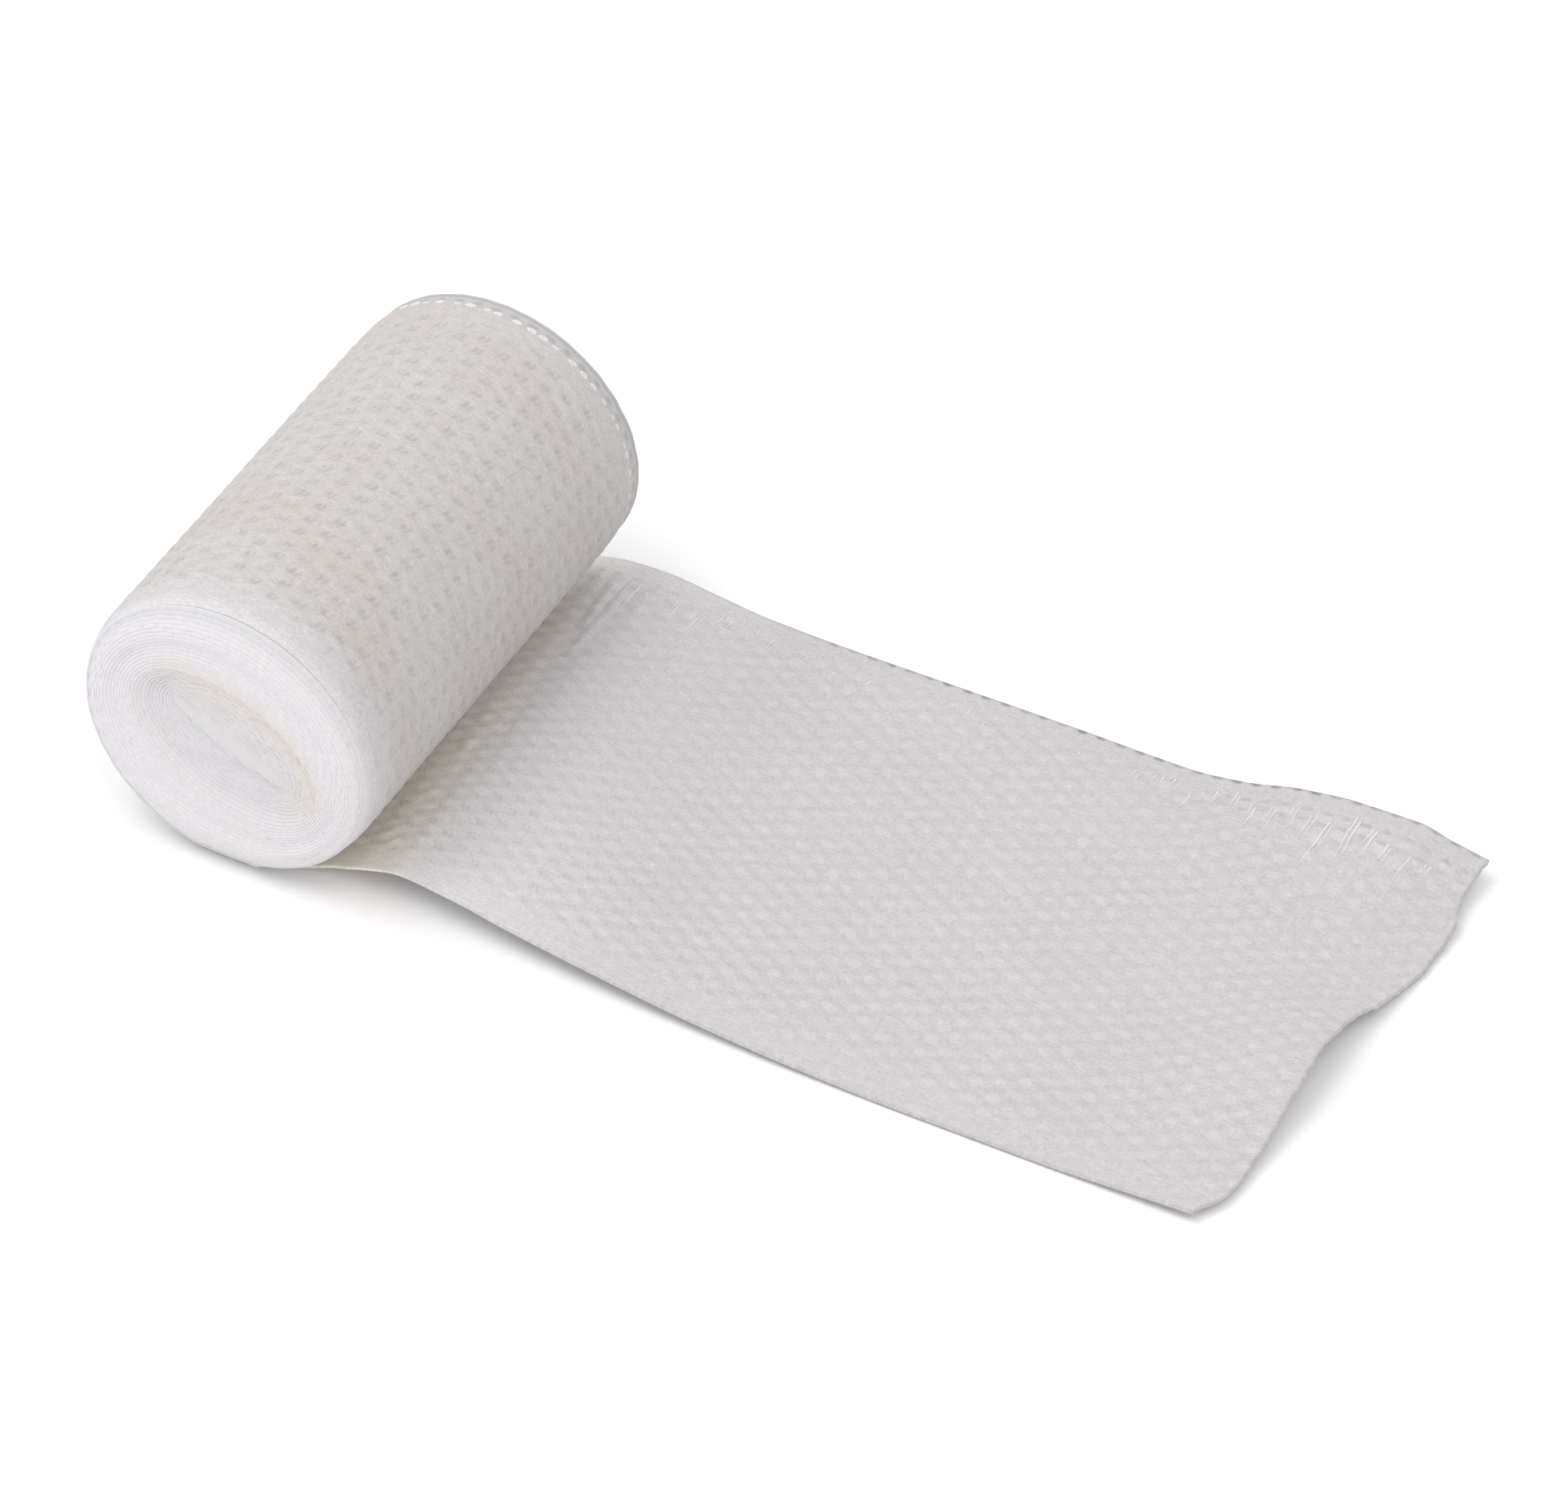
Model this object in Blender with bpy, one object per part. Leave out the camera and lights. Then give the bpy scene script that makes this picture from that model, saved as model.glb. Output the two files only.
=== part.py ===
"""A gauze bandage roll with its loose end laid out on the surface.

One knitted strip makes the whole thing: most of it is wound into a roll that lies on its side, and the
last stretch comes off the bottom of the roll and lies flat beside it.
X runs along the loose end, Y along the roll's axis, Z up. The origin is the middle of the footprint.
"""
import math

import bmesh
import bpy
from mathutils import Vector

MM = 0.001
FULL_TURN = 2.0 * math.pi

# The roll
ROLL_RADIUS = 21.1 * MM
FLAT_SPOT_DEPTH = 0.42 * MM
ROLL_CENTRE_X = -0.6 * MM
ROLL_CENTRE_Z = ROLL_RADIUS - FLAT_SPOT_DEPTH
LEAVE_X = 4.0 * MM
LAST_STRETCH = 0.16
MAIN_TURNS = 4
TURN_RELIEF = 0.45 * MM
CORE_HALF_LENGTH = 7.0 * MM
CORE_HALF_HEIGHT = 0.9 * MM
CORE_SHIFT = (1.5 * MM, -0.4 * MM)
CORE_TILT = math.radians(-26.0)
CORE_FLATTENING = 1.15
CORE_EXTRA_DEPTH = 0.6 * MM
RELIEF_FADE = 0.12
SWELL = 0.22 * MM
SWELLS_ROUND = 3
SWELL_TWIST = 2.2

# The loose end
SHEET_THICKNESS = 1.0 * MM
CLEARANCE = 0.3 * MM

# Mesh fineness
ROLL_SEGMENTS = 72
ROLL_BODY_ROWS = 9
ROLL_END_ROWS = 20
SHEET_ROWS_ALONG = 62
SHEET_ROWS_ACROSS = 22

# How far each end of the roll stands out from the roll's middle plane, from the core slit (0) to the
# outermost turn (1), in millimetres. The inner turns bulge, the core is sunk in.
END_ROWS = (
    # outward, near_end, far_end
    (0.00, 35.3, 30.8),
    (0.12, 36.0, 31.5),
    (0.28, 37.5, 32.9),
    (0.42, 38.9, 34.2),
    (0.58, 39.3, 34.8),
    (0.76, 39.0, 34.7),
    (0.90, 38.3, 34.2),
    (0.97, 37.6, 33.4),
    (1.00, 36.9, 32.4),
)

# The loose end from the roll to its cut: how far along it, where its two edges lie across it, and how
# high its near edge, middle and far edge lift off the surface, all in millimetres.
STRIP_ROWS = (
    # along, near_edge, far_edge, near_lift, middle_lift, far_lift
    (4.3, -35.6, 36.6, 0.0, 0.0, 0.0),
    (8.0, -34.2, 36.9, 0.15, 0.15, 0.15),
    (13.0, -33.0, 37.0, 1.3, 1.1, 1.2),
    (17.0, -33.0, 37.1, 2.7, 2.0, 2.0),
    (22.0, -33.1, 37.1, 3.9, 2.5, 2.2),
    (30.0, -33.9, 37.3, 3.7, 1.8, 1.1),
    (38.0, -34.7, 37.3, 2.9, 0.7, 0.2),
    (50.0, -35.8, 37.2, 2.1, 0.0, 0.0),
    (66.0, -36.8, 37.3, 1.0, 0.0, 0.0),
    (80.0, -37.3, 37.4, 0.4, 0.0, 0.0),
    (98.0, -37.5, 37.3, 0.0, 0.0, 0.1),
    (106.0, -37.5, 37.4, 0.0, 0.0, 1.1),
    (114.0, -37.5, 37.5, 0.0, 0.0, 3.2),
    (122.0, -37.5, 37.6, 0.1, 0.0, 4.1),
    (130.0, -37.5, 37.6, 0.3, 0.0, 4.0),
    (135.0, -37.6, 37.6, 0.5, 0.0, 2.6),
    (141.0, -37.7, 37.6, 0.6, 0.0, 1.6),
)
FAR_WAVE_WIDTH = 15.0 * MM
NEAR_LIFT_WIDTH = 26.0 * MM
FLAT_BEFORE_LIFT = 0.05 * MM

# The cut end, from the near corner to the far corner: place across the strip, how far the cut reaches
# along it, and how high the cut edge lifts, in millimetres.
CUT_ROWS = (
    # across, reach, lift
    (-37.7, 134.4, 0.6),
    (-34.0, 136.1, 0.3),
    (-30.0, 137.0, 0.2),
    (-21.0, 137.2, 1.5),
    (-13.0, 137.2, 3.5),
    (-6.0, 137.1, 4.2),
    (1.0, 137.5, 3.1),
    (9.0, 139.2, 1.1),
    (17.0, 140.5, 0.1),
    (24.0, 140.9, 0.0),
    (31.0, 139.6, 0.1),
    (37.6, 139.8, 0.6),
)
CUT_WAVE_LENGTH = 24.0 * MM
USUAL_REACH = 137.5


def smooth_row(rows, at):
    """All columns of a table at one value of its first column, on a smooth curve through the rows."""
    if at <= rows[0][0]:
        return rows[0][1:]
    if at >= rows[-1][0]:
        return rows[-1][1:]
    index = 0
    while rows[index + 1][0] < at:
        index += 1
    start, end = rows[index], rows[index + 1]
    before, after = rows[max(index - 1, 0)], rows[min(index + 2, len(rows) - 1)]
    step = end[0] - start[0]
    t = (at - start[0]) / step
    values = []
    for column in range(1, len(start)):
        slope_in = limited_slope(before, start, end, column) * step
        slope_out = limited_slope(start, end, after, column) * step
        values.append(
            (2 * t**3 - 3 * t**2 + 1) * start[column]
            + (t**3 - 2 * t**2 + t) * slope_in
            + (3 * t**2 - 2 * t**3) * end[column]
            + (t**3 - t**2) * slope_out
        )
    return tuple(values)


def limited_slope(before, here, after, column):
    """The slope at a row, level at a peak or a trough, so that the curve never overshoots."""
    if here is before or here is after:
        return 0.0
    left = (here[column] - before[column]) / (here[0] - before[0])
    right = (after[column] - here[column]) / (after[0] - here[0])
    if left * right <= 0.0:
        return 0.0
    return 2.0 * left * right / (left + right)


def smooth_step(value):
    """Zero below 0, one above 1, and a soft ramp between."""
    value = min(max(value, 0.0), 1.0)
    return value * value * (3.0 - 2.0 * value)


def outline_point(fraction):
    """The roll's outline across its axis, once round from the leaving point to the step above it."""
    leave_x = LEAVE_X - ROLL_CENTRE_X
    if fraction == 0.0:
        return Vector((leave_x, -ROLL_CENTRE_Z))
    if fraction == 1.0:
        return Vector((leave_x, SHEET_THICKNESS + CLEARANCE - ROLL_CENTRE_Z))
    angle = fraction * FULL_TURN - math.asin(leave_x / ROLL_RADIUS)
    step_radius = math.hypot(leave_x, ROLL_CENTRE_Z - SHEET_THICKNESS - CLEARANCE)
    drawn_in = smooth_step((fraction - 1.0 + LAST_STRETCH) / LAST_STRETCH)
    radius = ROLL_RADIUS + (step_radius - ROLL_RADIUS) * drawn_in
    height = max(-radius * math.cos(angle), -ROLL_CENTRE_Z)
    return Vector((-radius * math.sin(angle), height))


def turn_point(outline, outward):
    """Squeezes the outline towards the core slit: outward is 1 on the outside and 0 at the slit."""
    across = Vector((math.cos(CORE_TILT), math.sin(CORE_TILT)))
    upright = Vector((-across.y, across.x))
    long_scale = (CORE_HALF_LENGTH + (ROLL_RADIUS - CORE_HALF_LENGTH) * outward) / ROLL_RADIUS
    grown = outward**CORE_FLATTENING
    short_scale = (CORE_HALF_HEIGHT + (ROLL_RADIUS - CORE_HALF_HEIGHT) * grown) / ROLL_RADIUS
    shift = Vector(CORE_SHIFT) * (1.0 - outward)
    return (
        across * outline.dot(across) * long_scale
        + upright * outline.dot(upright) * short_scale
        + shift
    )


def end_relief(fraction, outward):
    """The main turns as a soft spiral groove in the roll's end, fading out at the rim."""
    turns = MAIN_TURNS * outward + fraction
    fade = smooth_step((1.0 - outward) / RELIEF_FADE)
    return TURN_RELIEF * fade * 0.5 * (1.0 - math.cos(FULL_TURN * turns))


def roll_swell(fraction, along):
    """A slight unevenness of the outermost turn, none near the flat spot and the step."""
    away = math.sin(math.pi * fraction) ** 2
    return SWELL * away * math.sin(SWELLS_ROUND * FULL_TURN * fraction + SWELL_TWIST * along)


def roll_ring(mesh, outward, y, side):
    """One ring of the roll's skin at its place along the axis; side is -1 near, 1 far, 0 on the body."""
    ring = []
    for step in range(ROLL_SEGMENTS + 1):
        fraction = step / ROLL_SEGMENTS
        point = turn_point(outline_point(fraction), outward)
        if side == 0:
            point += point.normalized() * roll_swell(fraction, y / ROLL_RADIUS)
        depth = side * end_relief(fraction, outward)
        place = (ROLL_CENTRE_X + point.x, y - depth, ROLL_CENTRE_Z + point.y)
        ring.append(mesh.verts.new(place))
    return ring


def bridge_rings(mesh, first, second):
    """Quads between two rings, the step's own narrow face included."""
    count = len(first)
    for index in range(count):
        following = (index + 1) % count
        mesh.faces.new((first[index], first[following], second[following], second[index]))


def close_core(mesh, ring, y, turned_out):
    """Closes the core slit with a fan round one middle point."""
    middle = mesh.verts.new((ROLL_CENTRE_X + CORE_SHIFT[0], y, ROLL_CENTRE_Z + CORE_SHIFT[1]))
    for index, vertex in enumerate(ring):
        following = ring[(index + 1) % len(ring)]
        corners = (vertex, following, middle) if turned_out else (following, vertex, middle)
        mesh.faces.new(corners)


def make_wound_roll():
    """The wound form: near end from the core out, the body, and the far end back to the core."""
    mesh = bmesh.new()
    rings = []
    for row in range(ROLL_END_ROWS + 1):
        outward = row / ROLL_END_ROWS
        near, _ = smooth_row(END_ROWS, outward)
        rings.append(roll_ring(mesh, outward, -near * MM, -1))
    near_rim, far_rim = END_ROWS[-1][1] * MM, END_ROWS[-1][2] * MM
    for row in range(1, ROLL_BODY_ROWS):
        y = -near_rim + (near_rim + far_rim) * row / ROLL_BODY_ROWS
        rings.append(roll_ring(mesh, 1.0, y, 0))
    for row in range(ROLL_END_ROWS, -1, -1):
        outward = row / ROLL_END_ROWS
        _, far = smooth_row(END_ROWS, outward)
        rings.append(roll_ring(mesh, outward, far * MM, 1))
    for first, second in zip(rings, rings[1:]):
        bridge_rings(mesh, first, second)
    close_core(mesh, rings[0], rings[0][0].co.y + CORE_EXTRA_DEPTH, True)
    close_core(mesh, rings[-1], rings[-1][0].co.y - CORE_EXTRA_DEPTH, False)
    return finish_mesh(mesh, "wound_roll")


def strip_point(along_share, across_share):
    """A point of the loose end's lower face, from shares of its length and width between 0 and 1."""
    start = STRIP_ROWS[0][0]
    near_edge, far_edge = smooth_row(STRIP_ROWS, start + along_share * (USUAL_REACH - start))[:2]
    across = near_edge + (far_edge - near_edge) * across_share
    reach, cut_lift = smooth_row(CUT_ROWS, across)
    along = start + along_share * (reach - start)
    near_edge, far_edge, near_lift, middle_lift, far_lift = smooth_row(STRIP_ROWS, along)
    across = near_edge + (far_edge - near_edge) * across_share
    from_near = (across - near_edge) * MM
    from_far = (far_edge - across) * MM
    near_part = math.exp(-((from_near / NEAR_LIFT_WIDTH) ** 2))
    far_part = math.exp(-((from_far / FAR_WAVE_WIDTH) ** 2))
    lift = (
        middle_lift
        + (near_lift - middle_lift) * near_part
        + (far_lift - middle_lift) * far_part
        + cut_lift * smooth_step(1.0 - (reach - along) * MM / CUT_WAVE_LENGTH)
    )
    height = max(lift * MM - FLAT_BEFORE_LIFT, 0.0)
    return Vector((along * MM, across * MM, height))


def make_loose_end():
    """The sheet: a grid for its lower face, the same grid one thickness higher, and a wall all round."""
    mesh = bmesh.new()
    lower, upper = [], []
    for row in range(SHEET_ROWS_ALONG + 1):
        line = [
            strip_point(row / SHEET_ROWS_ALONG, column / SHEET_ROWS_ACROSS)
            for column in range(SHEET_ROWS_ACROSS + 1)
        ]
        lower.append([mesh.verts.new(point) for point in line])
        upper.append([mesh.verts.new(point + Vector((0.0, 0.0, SHEET_THICKNESS))) for point in line])
    for row in range(SHEET_ROWS_ALONG):
        for column in range(SHEET_ROWS_ACROSS):
            corners = ((row, column), (row + 1, column), (row + 1, column + 1), (row, column + 1))
            mesh.faces.new([upper[r][c] for r, c in corners])
            mesh.faces.new([lower[r][c] for r, c in reversed(corners)])
    lower_rim, upper_rim = grid_rim(lower), grid_rim(upper)
    count = len(lower_rim)
    for index in range(count):
        following = (index + 1) % count
        mesh.faces.new(
            (lower_rim[index], lower_rim[following], upper_rim[following], upper_rim[index])
        )
    return finish_mesh(mesh, "loose_end")


def grid_rim(grid):
    """The outer vertices of a grid in order: near edge, cut end, far edge and roll side."""
    near_edge = [line[0] for line in grid]
    cut_end = grid[-1][1:]
    far_edge = [line[-1] for line in reversed(grid[:-1])]
    roll_side = list(reversed(grid[0][1:-1]))
    return near_edge + cut_end + far_edge + roll_side


def finish_mesh(mesh, name):
    """Turns a bmesh into a named object, shaded smooth with its rims left crisp."""
    bmesh.ops.recalc_face_normals(mesh, faces=mesh.faces)
    data = bpy.data.meshes.new(name)
    mesh.to_mesh(data)
    mesh.free()
    data.shade_smooth()
    data.set_sharp_from_angle(angle=math.radians(50.0))
    piece = bpy.data.objects.new(name, data)
    bpy.context.scene.collection.objects.link(piece)
    return piece


def gauze_material(name, colour):
    """Matt undyed cotton gauze."""
    material = bpy.data.materials.new(name)
    material.use_nodes = True
    shader = material.node_tree.nodes["Principled BSDF"]
    shader.inputs["Base Color"].default_value = (*colour, 1.0)
    shader.inputs["Roughness"].default_value = 0.9
    shader.inputs["Metallic"].default_value = 0.0
    return material


def centre_footprint(pieces):
    """Moves the meshes so that the middle of their common footprint is the origin."""
    points = [vertex.co for piece in pieces for vertex in piece.data.vertices]
    middle_x = 0.5 * (min(p.x for p in points) + max(p.x for p in points))
    middle_y = 0.5 * (min(p.y for p in points) + max(p.y for p in points))
    for piece in pieces:
        for vertex in piece.data.vertices:
            vertex.co.x -= middle_x
            vertex.co.y -= middle_y
    print("footprint middle at", round(middle_x / MM, 3), round(middle_y / MM, 3), "mm")


def main():
    for old in list(bpy.data.objects):
        bpy.data.objects.remove(old, do_unlink=True)
    roll = make_wound_roll()
    roll.data.materials.append(gauze_material("wound_gauze", (0.72, 0.70, 0.67)))
    loose = make_loose_end()
    loose.data.materials.append(gauze_material("loose_gauze", (0.68, 0.67, 0.68)))
    centre_footprint([roll, loose])


main()
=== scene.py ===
# %% [markdown]
# # A gauze bandage roll
# One long knitted strip makes the whole thing. Most of it is wound into a roll that lies on its side,
# and the last stretch comes off the bottom of the roll and lies flat beside it. The solids of the roll
# and of the loose end are loaded first and stay where they are: the cloth that is made here takes their
# place, turn by turn.

# %% Load the solids
import math

import bpy
import numpy as np
from mathutils import Matrix, Vector


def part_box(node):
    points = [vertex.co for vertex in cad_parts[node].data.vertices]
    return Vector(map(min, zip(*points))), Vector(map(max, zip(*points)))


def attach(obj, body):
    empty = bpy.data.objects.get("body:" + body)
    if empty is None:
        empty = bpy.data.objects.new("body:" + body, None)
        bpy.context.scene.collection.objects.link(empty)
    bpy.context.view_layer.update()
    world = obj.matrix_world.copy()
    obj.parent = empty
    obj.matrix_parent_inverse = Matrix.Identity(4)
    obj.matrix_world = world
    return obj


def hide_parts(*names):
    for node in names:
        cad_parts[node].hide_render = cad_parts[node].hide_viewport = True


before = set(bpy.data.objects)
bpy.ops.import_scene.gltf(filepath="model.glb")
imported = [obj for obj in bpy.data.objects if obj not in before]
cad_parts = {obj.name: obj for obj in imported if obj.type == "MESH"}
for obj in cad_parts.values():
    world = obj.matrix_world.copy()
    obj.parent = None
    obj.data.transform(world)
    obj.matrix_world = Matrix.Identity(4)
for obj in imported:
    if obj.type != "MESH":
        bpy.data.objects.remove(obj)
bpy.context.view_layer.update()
MM = 0.001

# %% [markdown]
# ## Where things are
# Every size below is a real size in millimetres. The tables count from the line where the middle of the
# roll meets the surface, and FOOTING is where that line lies in the solids' own frame. The loose end's
# solid starts a known distance from that line, so the two can be compared.

# %% Sizes of the roll and the strip
FOOTING = Vector((-59.542, 0.847, 0.0))
ROLL_RADIUS = 21.1
ROLL_CENTRE_X = -0.6
ROLL_CENTRE_Z = 20.68
LEAVE_X = 4.0
ROLL_GIRTH = 2.0 * math.pi * ROLL_RADIUS
STRIP_WIDTH = 75.0
CLOTH_THICKNESS = 0.42
solid_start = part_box("loose_end")[0][0] / MM - FOOTING.x
print("the loose end's solid starts", round(solid_start, 2), "mm from the roll's line, and should at 4.3")

# %% [markdown]
# ## Reading a short table
# The strip's edges and its soft waves are written down as short tables, a row for each place that
# matters. A smooth curve through the rows gives everything between them. The curve is level at each
# peak, so that no wave grows past its own row.

# %% A smooth curve through a table's column


def read_table(rows, column, at):
    """One column of a table, at any values of its first column."""
    places = np.array([row[0] for row in rows])
    values = np.array([row[column] for row in rows])
    steps = np.diff(places)
    rises = np.diff(values) / steps
    slopes = np.zeros(len(rows))
    product = rises[:-1] * rises[1:]
    same_way = product > 0.0
    slopes[1:-1][same_way] = 2.0 * product[same_way] / (rises[:-1] + rises[1:])[same_way]
    index = np.clip(np.searchsorted(places, at) - 1, 0, len(rows) - 2)
    step = steps[index]
    t = np.clip((at - places[index]) / step, 0.0, 1.0)
    return (
        (2 * t**3 - 3 * t**2 + 1) * values[index]
        + (t**3 - 2 * t**2 + t) * step * slopes[index]
        + (3 * t**2 - 2 * t**3) * values[index + 1]
        + (t**3 - t**2) * step * slopes[index + 1]
    )


def between_edges(rows, at, share):
    """The place across, at a share of the way from a table's near edge to its far one."""
    near_edge = read_table(rows, 1, at)
    return near_edge + (read_table(rows, 2, at) - near_edge) * share


def smooth_step(value):
    """Zero below 0, one above 1, and a soft ramp between."""
    value = np.clip(value, 0.0, 1.0)
    return value * value * (3.0 - 2.0 * value)


TRIAL_PEAK = ((0.0, 0.0), (1.0, 1.0), (2.0, 0.0))
print("a trial peak at five places:", read_table(TRIAL_PEAK, 1, np.linspace(0.0, 2.0, 5)).round(2))

# %% [markdown]
# ## The strip's tables
# The loose end narrows a little near the roll, because the knit is stretched lengthways there. It humps
# up where it comes off the roll, its far edge lifts in one long wave, and its cut edge in another.
# The cut itself is not straight: it swings out towards the far corner and in at the near one.

# %% Tables of the loose end, its cut and the roll's ends
STRIP_ROWS = (
    # along, near_edge, far_edge, near_lift, middle_lift, far_lift
    (4.0, -35.8, 36.6, 0.0, 0.0, 0.0),
    (8.0, -34.2, 36.9, 0.15, 0.15, 0.15),
    (13.0, -33.0, 37.0, 1.3, 1.1, 1.2),
    (17.0, -33.0, 37.1, 2.7, 2.0, 2.0),
    (22.0, -33.1, 37.1, 3.9, 2.5, 2.2),
    (30.0, -33.9, 37.3, 3.7, 1.8, 1.1),
    (38.0, -34.7, 37.3, 2.9, 0.7, 0.2),
    (50.0, -35.8, 37.2, 2.1, 0.0, 0.0),
    (66.0, -36.8, 37.3, 1.0, 0.0, 0.0),
    (80.0, -37.3, 37.4, 0.4, 0.0, 0.0),
    (98.0, -37.5, 37.3, 0.0, 0.0, 0.1),
    (106.0, -37.5, 37.4, 0.0, 0.0, 1.1),
    (114.0, -37.5, 37.5, 0.0, 0.0, 3.2),
    (122.0, -37.5, 37.6, 0.1, 0.0, 4.1),
    (130.0, -37.5, 37.6, 0.3, 0.0, 4.0),
    (135.0, -37.6, 37.6, 0.5, 0.0, 2.6),
    (141.0, -37.7, 37.6, 0.6, 0.0, 1.6),
)
CUT_ROWS = (
    # across, reach, lift
    (-37.7, 134.4, 0.6),
    (-34.0, 136.1, 0.3),
    (-30.0, 137.0, 0.2),
    (-21.0, 137.2, 1.5),
    (-13.0, 137.2, 3.5),
    (-6.0, 137.1, 4.2),
    (1.0, 137.5, 3.1),
    (9.0, 139.2, 1.1),
    (17.0, 140.5, 0.1),
    (24.0, 140.9, 0.0),
    (31.0, 139.6, 0.1),
    (37.6, 139.8, 0.6),
)
END_ROWS = (
    # outward, near_end, far_end
    (0.00, 37.95, 31.4),
    (0.07, 37.85, 31.6),
    (0.15, 37.65, 32.0),
    (0.27, 37.55, 32.8),
    (0.35, 37.8, 33.4),
    (0.42, 38.45, 34.1),
    (0.50, 38.95, 34.6),
    (0.58, 39.15, 34.8),
    (0.66, 38.95, 34.8),
    (0.76, 39.1, 34.7),
    (0.87, 38.45, 34.4),
    (0.93, 37.85, 33.9),
    (0.97, 37.3, 33.6),
    (1.00, 37.1, 33.3),
)
OUTER_TURN_ROWS = (
    # turns, near_edge, far_edge
    (0.00, -35.8, 36.6),
    (0.10, -36.6, 35.0),
    (0.28, -37.2, 32.0),
    (0.50, -37.2, 31.3),
    (1.10, -37.2, 31.3),
)
FAR_WAVE_WIDTH = 15.0
NEAR_LIFT_WIDTH = 26.0
CUT_WAVE_LENGTH = 24.0
USUAL_REACH = 137.5
print("rows: strip", len(STRIP_ROWS), "cut", len(CUT_ROWS), "ends", len(END_ROWS))

# %% [markdown]
# ## The camera
# The picture was taken from the roll's near end, a little to the right and well above, with a long lens.
# The camera stands back the same way, so that parallel edges stay almost parallel.

# %% Camera at the photograph's angle
CAMERA_TURN = math.radians(26.199)
CAMERA_HEIGHT_ANGLE = math.radians(40.927)
CAMERA_ROLL = math.radians(1.946)
CAMERA_DISTANCE = 1200.0
CAMERA_LENS, SENSOR_WIDTH = 214.93, 36.0
LOOK_AT = Vector((50.71, 16.10, 0.0))
turned = (
    Matrix.Rotation(CAMERA_TURN, 4, "Z")
    @ Matrix.Rotation(math.radians(90.0) - CAMERA_HEIGHT_ANGLE, 4, "X")
    @ Matrix.Rotation(CAMERA_ROLL, 4, "Z")
)
bpy.ops.object.select_all(action="DESELECT")
bpy.ops.object.camera_add()
camera = bpy.context.active_object
camera.name = "photo_camera"
stands_back = turned.col[2].to_3d() * CAMERA_DISTANCE
camera.matrix_world = Matrix.Translation((LOOK_AT + FOOTING + stands_back) * MM) @ turned
camera.data.lens = CAMERA_LENS
camera.data.sensor_width = SENSOR_WIDTH
camera.data.clip_end = 10.0
bpy.context.scene.camera = camera
print("camera at", tuple(round(c, 3) for c in camera.location), "lens", round(camera.data.lens, 2))

# %% [markdown]
# ## Floor and light
# A plain white floor and one big soft lamp high on the left, a little in front, with an even white sky
# and a weak warm lamp on the right as the fill. The main lamp stands high enough to reach the loose end
# over the roll, and leaves the side of the roll by the loose end softer.

# %% Floor, lamps and sky
KEY_FROM = Vector((-0.46, -0.24, 0.86))
FILL_FROM = Vector((0.52, -0.22, 0.82))
LAMP_DISTANCE, LAMP_SIZE = 1.1, 0.9


def add_lamp(name, towards, power, colour):
    """A square area lamp that looks at the middle of the bandage."""
    middle = Vector((0.0, 0.0, 0.01))
    place = middle + towards.normalized() * LAMP_DISTANCE
    turn = (middle - place).to_track_quat("-Z", "Y").to_euler()
    bpy.ops.object.light_add(type="AREA", location=place, rotation=turn)
    lamp = bpy.context.active_object
    lamp.name = name
    lamp.data.shape = "SQUARE"
    lamp.data.size = LAMP_SIZE
    lamp.data.energy = power
    lamp.data.color = colour
    return lamp


bpy.ops.object.select_all(action="DESELECT")
bpy.ops.mesh.primitive_plane_add(size=4.0, location=(0.0, 0.0, -0.00002))
floor = bpy.context.active_object
floor.name = "floor"
floor_paint = bpy.data.materials.new("white_floor")
floor_paint.use_nodes = True
floor_shader = floor_paint.node_tree.nodes["Principled BSDF"]
floor_shader.inputs["Base Color"].default_value = (0.93, 0.93, 0.93, 1.0)
floor_shader.inputs["Roughness"].default_value = 0.9
floor_shader.inputs["Specular IOR Level"].default_value = 0.1
floor.data.materials.append(floor_paint)

key_lamp = add_lamp("key_lamp", KEY_FROM, 5.8, (1.0, 0.99, 0.98))
fill_lamp = add_lamp("warm_fill", FILL_FROM, 2.3, (1.0, 0.93, 0.85))

sky = bpy.data.worlds.new("studio_sky")
sky.use_nodes = True
sky.node_tree.nodes["Background"].inputs["Color"].default_value = (0.98, 0.985, 1.0, 1.0)
sky.node_tree.nodes["Background"].inputs["Strength"].default_value = 0.83
bpy.context.scene.world = sky
bpy.context.scene.view_settings.view_transform = "Standard"
print("lamps:", round(key_lamp.data.energy, 1), "W and", round(fill_lamp.data.energy, 1), "W")

# %% [markdown]
# ## The knit's repeat
# Conforming gauze is knitted in small blisters that stand in staggered rows: 5.5 mm apart along the
# relaxed strip and 3 mm apart across it, with another set halfway between. On the roll the strip is
# pulled to 6.8 mm. A blister stands up on the inner face and shows as a small pit on the outer one,
# so one soft height map serves both faces.

# %% Height of the knit
BLISTER_PITCH = 5.5
WALE_PITCH = 3.0
PULLED_PITCH = 6.8
BLISTER_HEIGHT = 0.27
PIT_DEPTH = 0.12
NEAR_PLAIN_BAND = 4.4
FAR_PLAIN_BAND = 3.2
BAND_SOFTNESS = 1.6
WANDER, PATCHINESS, BLISTER_POINT = 0.07, 0.6, 1.6


def soft_noise(a, b, seed, waves=6):
    """An uneven but repeatable surface between -1 and 1, from a few crossing waves."""
    random = np.random.default_rng(seed)
    total = np.zeros(np.broadcast(a, b).shape)
    for _ in range(waves):
        turn = random.uniform(0.0, 2.0 * math.pi)
        stretch = random.uniform(0.6, 1.7)
        shift = random.uniform(0.0, 2.0 * math.pi)
        total += np.sin(stretch * (math.cos(turn) * a + math.sin(turn) * b) + shift)
    return total / waves


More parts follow.
